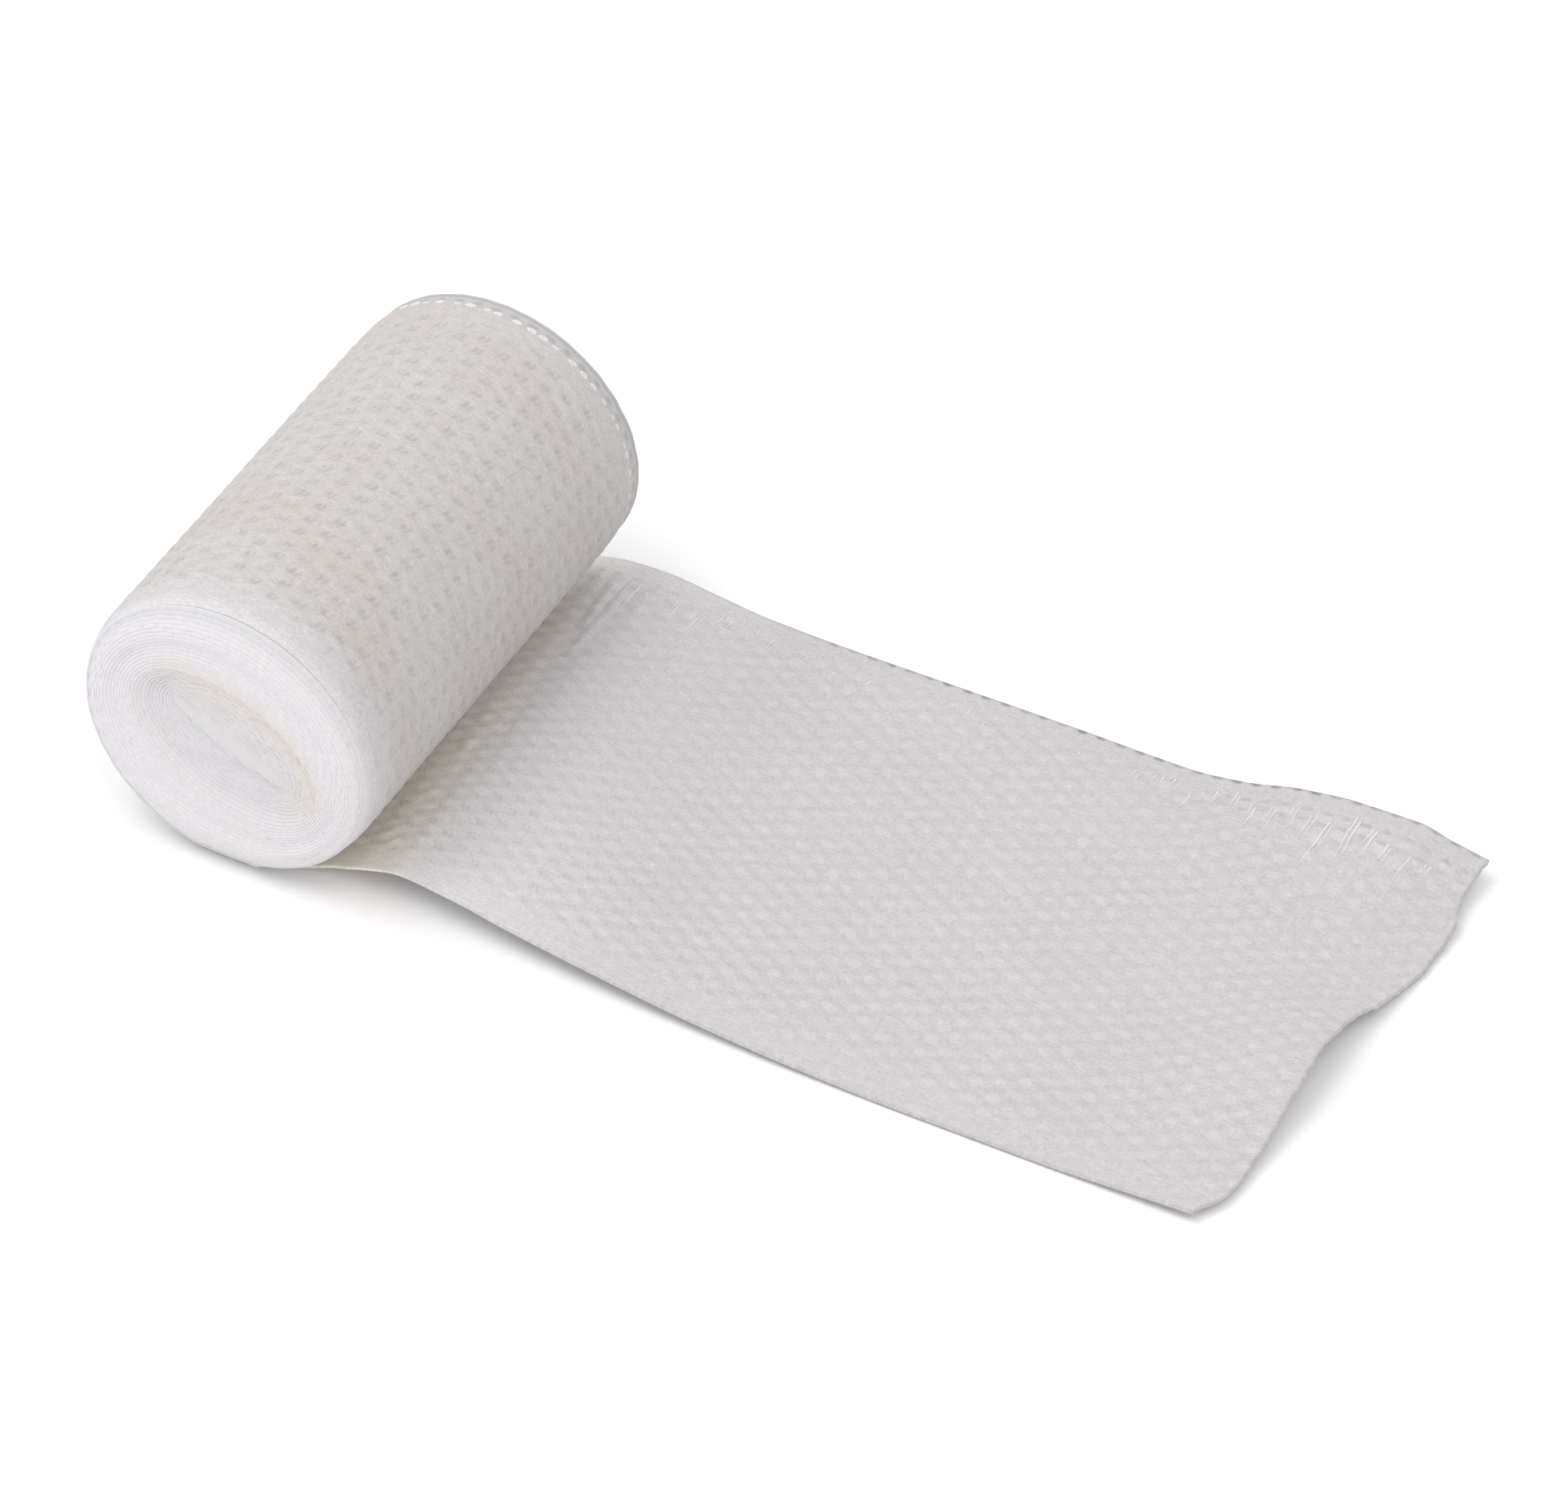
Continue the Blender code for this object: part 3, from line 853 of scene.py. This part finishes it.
# sideways, share_of_loose
RUNG_STRANDS = ((-0.30, 0.0), (0.34, 0.0), (-1.00, 1.0), (1.05, 1.0))
STRAND_LEAN, STRAND_WAVE, RADIANS_PER_MM, STRAND_THINNING = 0.15, 0.06, 1.3, 0.7
RUNG_LIFT = 0.04
FAR_EDGE_PLACE = 37.0
random = np.random.default_rng(7)
rungs = []
x, y, z = rung_points.T
share = y + 0.5
thin = 1.0 - STRAND_THINNING * share**2
for along in np.arange(RUNG_ROWS[0][0], RUNG_ROWS[-1][0], BLISTER_PITCH / 2.0):
    length = float(read_table(RUNG_ROWS, 1, along)) * random.uniform(0.6, 1.15)
    start = random.uniform(2.0, 4.4)
    lean = random.uniform(-0.18, 0.02)
    wave = random.uniform(0.0, 6.0)
    loose = float(read_table(RUNG_ROWS, 3, along))
    for strand, share_of_loose in RUNG_STRANDS:
        stray, stray_lean = loose * random.uniform(-1.0, 1.0, 2)
        reach = length * random.uniform(0.35, 1.0)
        begin = start + random.uniform(0.0, 1.4)
        thick = random.uniform(0.7, 1.3)
        chance = float(read_table(RUNG_ROWS, 2, along)) * (1.0 - share_of_loose + share_of_loose * loose)
        if random.uniform() >= chance:
            continue
        inward = begin + share * reach
        sideways = strand + stray + (lean + STRAND_LEAN * stray_lean) * (inward - start)
        sideways = sideways + STRAND_WAVE * np.sin(RADIANS_PER_MM * inward + wave + strand)
        height = RUNG_LIFT + SETTLE + CLOTH_THICKNESS + LOOSE_RELIEF * knit_height(
            along - LEAVE_X + cloth_shear(FAR_EDGE_PLACE - inward), STRIP_WIDTH - inward
        )
        rungs.append(on_loose(along + x * thick * thin + sideways, inward, height + z * thick * thin))
ladder_rungs = join_copies("ladder_rungs", rungs, rung_faces)
print("rungs:", len(rungs))

# %% [markdown]
# ## Finishes
# Gauze is matt. What gives it its look is the knit: dark double ticks where the yarns leave a small
# hole, fine wales that run along the strip, and a little fuzz. All of it is read from the cloth's own
# measures, so it follows the strip round the roll. A small class keeps the node trees readable.

# %% Node helpers


class Graph:
    """Adds nodes to one material."""

    def __init__(self, name):
        self.material = bpy.data.materials.new(name)
        self.material.use_nodes = True
        self.tree = self.material.node_tree
        self.shader = self.tree.nodes["Principled BSDF"]

    def put(self, socket, value):
        """Links or sets one input. A colour may be given as three numbers."""
        if isinstance(value, bpy.types.NodeSocket):
            self.tree.links.new(value, socket)
        elif socket.type == "RGBA" and isinstance(value, tuple):
            socket.default_value = (*value, 1.0)
        else:
            socket.default_value = value

    def node(self, kind, given=None, **settings):
        """Adds one node with its settings and inputs, and gives its outputs."""
        node = self.tree.nodes.new("ShaderNode" + kind)
        for name, value in settings.items():
            setattr(node, name, value)
        for name, value in (given or {}).items():
            self.put(node.inputs[name], value)
        return node.outputs

    def math(self, operation, first, second=0.0):
        """One Math node."""
        return self.node("Math", {0: first, 1: second}, operation=operation)["Value"]

    def times(self, *values):
        """The product of several values."""
        total = values[0]
        for value in values[1:]:
            total = self.math("MULTIPLY", total, value)
        return total

    def nearest(self, value, pitch, shift=0.0):
        """The distance to the nearest multiple of a pitch, shifted by a share of it."""
        share = self.math("FRACT", self.math("ADD", self.math("DIVIDE", value, pitch), shift + 0.5))
        return self.times(self.math("SUBTRACT", share, 0.5), pitch)

    def ramp(self, value, low, high, low_out=0.0, high_out=1.0):
        """A soft step between two values."""
        given = {"Value": value, "From Min": low, "From Max": high, "To Min": low_out, "To Max": high_out}
        return self.node("MapRange", given, interpolation_type="SMOOTHSTEP")["Result"]

    def blend(self, factor, first, second, way="MIX"):
        """Mixes two colours."""
        given = {"Factor": factor, "A": first, "B": second}
        return self.node("Mix", given, data_type="RGBA", blend_type=way)["Result"]

    def tone(self, colour, value, low, high, dark, bright):
        """Darkens and brightens a colour by a noise."""
        return self.blend(1.0, colour, self.ramp(value, low, high, dark, bright), "MULTIPLY")

    def noise(self, vector, stretch, detail=2.0, rough=0.5):
        """A noise texture's value, its vector stretched along each axis."""
        vector = self.node("Mapping", {"Vector": vector, "Scale": stretch})["Vector"]
        given = {"Vector": vector, "Scale": 1.0, "Detail": detail, "Roughness": rough}
        return self.node("TexNoise", given)["Fac"]

    def parts(self, vector):
        """A vector's X, Y and Z."""
        split = self.node("SeparateXYZ", {"Vector": vector})
        return split["X"], split["Y"], split["Z"]

    def cloth(self):
        """The cloth's own measures: the vector, along and across."""
        uv = self.node("UVMap", uv_map=UV_NAME)["UV"]
        along, across, _ = self.parts(uv)
        return uv, along, across

    def bump(self, height, strength, distance, normal=None):
        """A bump node, on top of another one's normal if that is given."""
        given = {"Height": height, "Strength": strength, "Distance": distance}
        if normal is not None:
            given["Normal"] = normal
        return self.node("Bump", given)["Normal"]

    def finish(self, colour, normal, constants):
        """Puts the colour, the relief and the constants on the shader."""
        self.put(self.shader.inputs["Base Color"], colour)
        self.put(self.shader.inputs["Normal"], normal)
        for name, number in constants.items():
            self.shader.inputs[name].default_value = number
        return self.material


print("node helpers:", [name for name in vars(Graph) if not name.startswith("_")])

# %% [markdown]
# The double ticks sit at the pits of the face that shows. Each is two short slits side by side, leaning
# a little, which the cloth's measures give as the distance to the nearest point of a lattice. A second
# mask, round and wide, gives the painted shade of the pit round them and the painted highlight on the
# tops of the blisters.

# %% Masks on the staggered lattice
TICK_GAP, TICK_LEAN = 0.36, 0.30
TICK_HALVES, SPOT_HALVES, STITCH_HALVES = (0.21, 0.70), (0.95, 0.80), (0.715, 0.34)
BLISTERS = ((0.0, 0.0), (0.5, 0.5))
BETWEEN = ((0.0, 0.5), (0.5, 0.0))


def oval(graph, a, b, half_sizes, low, high):
    """One inside an oval round a = b = 0 and zero outside, with a soft edge."""
    a, b = (graph.math("DIVIDE", value, half) for value, half in zip((a, b), half_sizes))
    distance = graph.math("ADD", graph.times(a, a), graph.times(b, b))
    return graph.ramp(distance, low, high, 1.0, 0.0)


def staggered(graph, along, across, shifts):
    """The double ticks and the round spots of two lattices, staggered against each other."""
    ticks, spots = [], []
    for row_shift, wale_shift in shifts:
        a = graph.nearest(along, BLISTER_PITCH, row_shift)
        b = graph.nearest(across, WALE_PITCH, wale_shift)
        lean = graph.math("ABSOLUTE", graph.math("ADD", a, graph.times(b, TICK_LEAN)))
        slit = graph.math("SUBTRACT", lean, TICK_GAP)
        ticks.append(oval(graph, slit, b, TICK_HALVES, 0.1, 2.2))
        spots.append(oval(graph, a, b, SPOT_HALVES, 0.0, 2.0))
    return graph.math("MAXIMUM", *ticks), graph.math("MAXIMUM", *spots)


def stitch_row(graph, along, across, from_edge):
    """A row of short dark stitches at one distance from the far edge."""
    a = graph.nearest(along, BLISTER_PITCH / 2.0)
    b = graph.math("SUBTRACT", across, STRIP_WIDTH - from_edge)
    return oval(graph, a, b, STITCH_HALVES, 0.1, 2.0)


print("a tick's two slits stand", 2.0 * TICK_GAP, "mm apart and are", 2.0 * TICK_HALVES[1], "mm long")

# %% [markdown]
# The outer face shows its ticks clearly on the left and on top of the roll, and less towards the crevice.
# On the inner face they show near the roll and along the near side, and further out a painted highlight
# on the tops of the blisters takes over. Beside the far selvedge of the loose end two rows of small holes
# run between the ladder threads, and the edge itself has a row of short dark stitches. Where the loose end
# comes out from under the roll, painted light makes its colour lighter and warmer, standing in for the
# light that would come through the thin cloth.

# %% Gauze finish
GAUZE_LAYERS = (
    # layer, stretch_along, stretch_across, detail, roughness
    ("drift", 0.22, 0.22, 2.0, 0.5),
    ("uneven", 0.5, 0.5, 3.0, 0.5),
    ("patches", 0.05, 0.08, 2.0, 0.5),
    ("clumps", 0.8, 0.8, 3.0, 0.6),
    ("streaks", 0.40, 2.4, 3.0, 0.6),
    ("fibres", 1.6, 5.5, 2.0, 0.6),
    ("grain", 5.5, 5.5, 3.0, 0.7),
)
GAUZE_TONES = (
    # layer, low, high, dark, bright, bump_strength, bump_distance
    ("streaks", 0.3, 0.75, 0.95, 1.03, 0.6, 0.0003),
    ("fibres", 0.25, 0.75, 0.89, 1.08, 0.5, 0.00016),
    ("grain", 0.27, 0.75, 0.87, 1.09, 0.45, 0.00012),
)
GAUZE_SHEEN = {"Roughness": 0.95, "Specular IOR Level": 0.15, "Sheen Weight": 0.12, "Sheen Roughness": 0.6}
ROW_DRIFT = 0.9
LADDER_HOLES = (3.4, 5.2)
NEAR_RIM = (0.68, 0.665, 0.68)
PAINTED_LIGHT_BY_ROLL, PAINTED_LIGHT_UNDER_ROLL = (0.75, 0.73, 0.745), (0.92, 0.88, 0.80)
PIT_SHADE_COLOUR, TICK_COLOUR = (0.40, 0.40, 0.41), (0.25, 0.25, 0.26)
TOP_HIGHLIGHT_COLOUR, HOLE_COLOUR, EDGE_STITCH_COLOUR = (0.70, 0.69, 0.70), (0.30, 0.30, 0.31), (0.20, 0.20, 0.21)


def inner_face_marks(graph, base, along, drifted, across, knitted, uneven):
    """Painted highlight on blister tops, the holes between the ladder threads and the stitched edge."""
    # painted highlight on the tops of the blisters
    _, tops = staggered(graph, drifted, across, BLISTERS)
    base = graph.blend(graph.times(tops, knitted, uneven, 0.22), base, TOP_HIGHLIGHT_COLOUR)
    by_hump = graph.ramp(along, 20.0, 36.0, 0.5, 0.0)
    by_rungs = graph.math("MAXIMUM", by_hump, graph.ramp(along, 96.0, 106.0))
    rows = graph.math("MAXIMUM", *(stitch_row(graph, along, across, inset) for inset in LADDER_HOLES))
    base = graph.blend(graph.times(rows, by_rungs, uneven, 0.42), base, HOLE_COLOUR)
    edge_row = graph.times(stitch_row(graph, along, across, 0.25), graph.ramp(along, 40.0, 52.0))
    return graph.blend(graph.times(edge_row, uneven, 0.8), base, EDGE_STITCH_COLOUR)


def gauze_finish(name, colours, strengths, shifts, inner_face):
    """Knitted gauze: wales along the strip, double ticks, a plain band at each edge, soft fuzz."""
    light, shade, near_band = colours
    tick_strength, spot_strength = strengths
    graph = Graph(name)
    cloth, along, across = graph.cloth()
    layers = {}
    for layer, stretch_along, stretch_across, detail, rough in GAUZE_LAYERS:
        layers[layer] = graph.noise(cloth, (stretch_along, stretch_across, 1.0), detail, rough)
    drift = graph.times(graph.math("SUBTRACT", layers["drift"], 0.5), ROW_DRIFT)
    drifted = graph.math("ADD", along, drift)
    ticks, spots = staggered(graph, drifted, across, shifts)
    knit_end = STRIP_WIDTH - FAR_PLAIN_BAND
    after_near_band = graph.ramp(across, NEAR_PLAIN_BAND - 0.6, NEAR_PLAIN_BAND + 0.8)
    before_far_band = graph.ramp(across, knit_end - 0.6, knit_end + 0.6, 1.0, 0.0)
    knitted = graph.times(after_near_band, before_far_band)
    uneven = graph.ramp(layers["uneven"], 0.35, 0.65, 0.35, 1.0)
    if inner_face:
        near_side = graph.ramp(across, 12.0, 50.0, 1.0, 0.35)
        clear = graph.times(uneven, graph.ramp(along, 24.0, 90.0, 0.62, 0.25), near_side)
    else:
        clear = graph.times(uneven, graph.ramp(along, -95.0, -55.0, 0.5, 1.0))
    ticks = graph.times(ticks, knitted, clear, tick_strength)
    spots = graph.times(spots, knitted, clear, spot_strength)

    base = graph.blend(graph.ramp(layers["patches"], 0.3, 0.7), light, shade)
    base = graph.blend(graph.ramp(across, 3.5, 8.0, 1.0, 0.0), base, near_band)
    base = graph.tone(base, layers["clumps"], 0.35, 0.65, 0.97, 1.03)
    if inner_face:
        # painted light where the loose end comes out from under the roll: lighter, and warmer nearest to it
        base = graph.blend(graph.ramp(along, 8.0, 48.0, 1.0, 0.0), base, PAINTED_LIGHT_BY_ROLL)
        base = graph.blend(graph.ramp(along, 8.0, 19.0, 1.0, 0.0), base, PAINTED_LIGHT_UNDER_ROLL)
    else:
        base = graph.blend(graph.ramp(across, 0.0, 2.4, 1.0, 0.0), base, NEAR_RIM)
    normal = None
    for layer, low, high, dark, bright, strength, distance in GAUZE_TONES:
        base = graph.tone(base, layers[layer], low, high, dark, bright)
        normal = graph.bump(layers[layer], strength, distance, normal)
    # painted shade in the pits round the double ticks
    base = graph.blend(spots, base, PIT_SHADE_COLOUR)
    base = graph.blend(ticks, base, TICK_COLOUR)
    if inner_face:
        base = inner_face_marks(graph, base, along, drifted, across, knitted, uneven)
    normal = graph.bump(graph.times(ticks, -1.0), 0.6, 0.0002, normal)
    return graph.finish(base, normal, GAUZE_SHEEN)


wound_gauze = gauze_finish(
    "wound_gauze",
    colours=((0.58, 0.56, 0.55), (0.565, 0.53, 0.508), (0.605, 0.592, 0.60)),
    strengths=(0.28, 0.13),
    shifts=BLISTERS,
    inner_face=False,
)
loose_gauze = gauze_finish(
    "loose_gauze",
    colours=((0.575, 0.56, 0.578), (0.56, 0.545, 0.563), (0.58, 0.565, 0.583)),
    strengths=(0.22, 0.24),
    shifts=BETWEEN,
    inner_face=True,
)
for gauze in (wound_gauze, loose_gauze):
    print(gauze.name, "has", len(gauze.node_tree.nodes), "nodes")

# %% [markdown]
# The selvedges of the inner turns are whiter than the face of the cloth, because the light goes into
# the ends of the roll between the fibres. The turns at the near shoulder are as grey as the outermost
# one's edge. The hollow core is a little greyer than the disc round it with painted shade, less so on
# its fold, and its upper right side is faintly warm with painted warm light. At the far end only a
# narrow rim of them shows, grey with painted shade.

# %% Selvedge finish
PALE_EDGE, CORE_SHADE_GREY, CORE_WARM_LIGHT = (0.735, 0.718, 0.738), (0.668, 0.655, 0.672), (0.73, 0.688, 0.645)
SHOULDER_GREY, FAR_END_SHADE = (0.655, 0.645, 0.66), (0.50, 0.49, 0.495)
EDGE_SHEEN = {"Roughness": 0.95, "Specular IOR Level": 0.1, "Sheen Weight": 0.15, "Sheen Roughness": 0.6}
WARM_SIDE, WARM_RISE = 0.65, 0.75


def edge_finish(name):
    """The fuller selvedge of the inner turns: pale, soft and matt."""
    graph = Graph(name)
    cloth, along, across = graph.cloth()
    stitches = graph.noise(cloth, (1.2, 2.5, 1.0), 3.0, 0.6)
    patches = graph.noise(cloth, (0.05, 0.03, 1.0))
    past_core = graph.math("SUBTRACT", along, run_at_eye)
    past_fold = graph.math("SUBTRACT", along, run_at_fold)
    # painted shade: the edges grow greyer towards the hollow core, and less grey on its fold
    towards_core = graph.ramp(past_core, -600.0, -100.0, 0.0, 0.45)
    in_core = graph.math("MAXIMUM", towards_core, graph.ramp(past_core, -50.0, 40.0))
    in_core = graph.times(in_core, graph.ramp(past_fold, -30.0, 20.0, 1.0, 0.25))
    base = graph.blend(in_core, PALE_EDGE, CORE_SHADE_GREY)

    # painted warm light on the upper right side of a ring round the core
    x, _, z = graph.parts(graph.node("TexCoord")["Object"])
    side, rise = (graph.math("SUBTRACT", *pair) for pair in ((x, roll_axis.x), (z, roll_axis.z)))
    lean = graph.math("ADD", graph.times(side, WARM_SIDE), graph.times(rise, WARM_RISE))
    upper_right = graph.ramp(lean, -0.002, 0.005)
    ring = graph.times(graph.ramp(past_core, -500.0, -120.0), graph.ramp(past_core, 160.0, 460.0, 1.0, 0.0))
    near_half = graph.ramp(across, 20.0, 40.0, 1.0, 0.0)
    warm_light_ring = graph.times(ring, near_half, upper_right, graph.ramp(patches, 0.3, 0.6, 0.5, 1.0))
    base = graph.blend(warm_light_ring, base, CORE_WARM_LIGHT)
    near_shoulder = graph.times(near_half, graph.ramp(along, 60.0, 480.0, 1.0, 0.0))
    base = graph.blend(near_shoulder, base, SHOULDER_GREY)

    # painted shade: the edges at the far end are greyed
    far_side = graph.times(graph.ramp(across, 30.0, 50.0), graph.ramp(along, 150.0, 400.0, 1.0, 0.0))
    base = graph.blend(far_side, base, FAR_END_SHADE)
    rim_line = graph.math("ABSOLUTE", graph.math("SUBTRACT", across, STRIP_WIDTH - 0.5))
    rim_line = graph.ramp(rim_line, 0.1, 0.35, 1.0, 0.0)
    rim = graph.math("MAXIMUM", rim_line, stitch_row(graph, along, across, 1.4))
    base = graph.blend(graph.times(rim, far_side, 0.45), base, HOLE_COLOUR)
    base = graph.tone(base, stitches, 0.3, 0.7, 0.95, 1.03)
    return graph.finish(base, graph.bump(stitches, 0.5, 0.0003), EDGE_SHEEN)


pale_edge = edge_finish("pale_edge")
print(pale_edge.name, "has", len(pale_edge.node_tree.nodes), "nodes")

# %% [markdown]
# The loops, the rungs and the innermost fold are bare yarn. A fine noise on the place in space gives
# their fuzz, because pieces this small need no measures of their own.

# %% Yarn finishes
YARNS = (
    # name, colour, shade
    ("soft_fold", (0.665, 0.65, 0.665), (0.63, 0.615, 0.63)),
    ("white_yarn", (0.74, 0.735, 0.74), (0.64, 0.63, 0.63)),
    ("thin_yarn", (0.79, 0.78, 0.79), (0.71, 0.70, 0.71)),
)
YARN_SHEEN = {"Roughness": 0.85, "Sheen Weight": 0.2}
FUZZ_FINENESS = 4200.0


def yarn_finish(name, colour, shade):
    """Bleached cotton yarn, with the twist and fuzz of a single thread."""
    graph = Graph(name)
    twist = graph.noise(graph.node("TexCoord")["Object"], (FUZZ_FINENESS,) * 3, 2.0, 0.6)
    base = graph.blend(graph.ramp(twist, 0.3, 0.7), colour, shade)
    return graph.finish(base, graph.bump(twist, 0.5, 0.0001), YARN_SHEEN)


soft_fold, white_yarn, thin_yarn = (yarn_finish(*row) for row in YARNS)
print("yarns:", soft_fold.name, white_yarn.name, thin_yarn.name)

# %% [markdown]
# ## Dressing the pieces
# Every piece rides on the root body and gets its finish. The outermost turn and the inner turns take the
# wound solid's place, and the loose cloth takes the sheet's.

# %% Dress every piece
for piece, finish, slot in (
    (outer_turn, wound_gauze, "wound_gauze"),
    (inner_turns, pale_edge, "wound_gauze"),
    (folds[0], soft_fold, "wound_gauze"),
    (folds[1], soft_fold, "wound_gauze"),
    (turn_loops, white_yarn, "wound_gauze"),
    (loose_cloth, loose_gauze, "loose_gauze"),
    (ladder_rungs, thin_yarn, "loose_gauze"),
):
    piece.data.materials.clear()
    piece.data.materials.append(finish)
    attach(piece, "root")
    print(piece.name, "triangles", sum(len(face.vertices) - 2 for face in piece.data.polygons))
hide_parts("wound_roll")
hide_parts("wound_roll")
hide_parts("loose_end")

# %% [markdown]
# ## One strip
# The outermost turn, the inner turns and the loose end are stretches of one strip.

# %% [markdown]
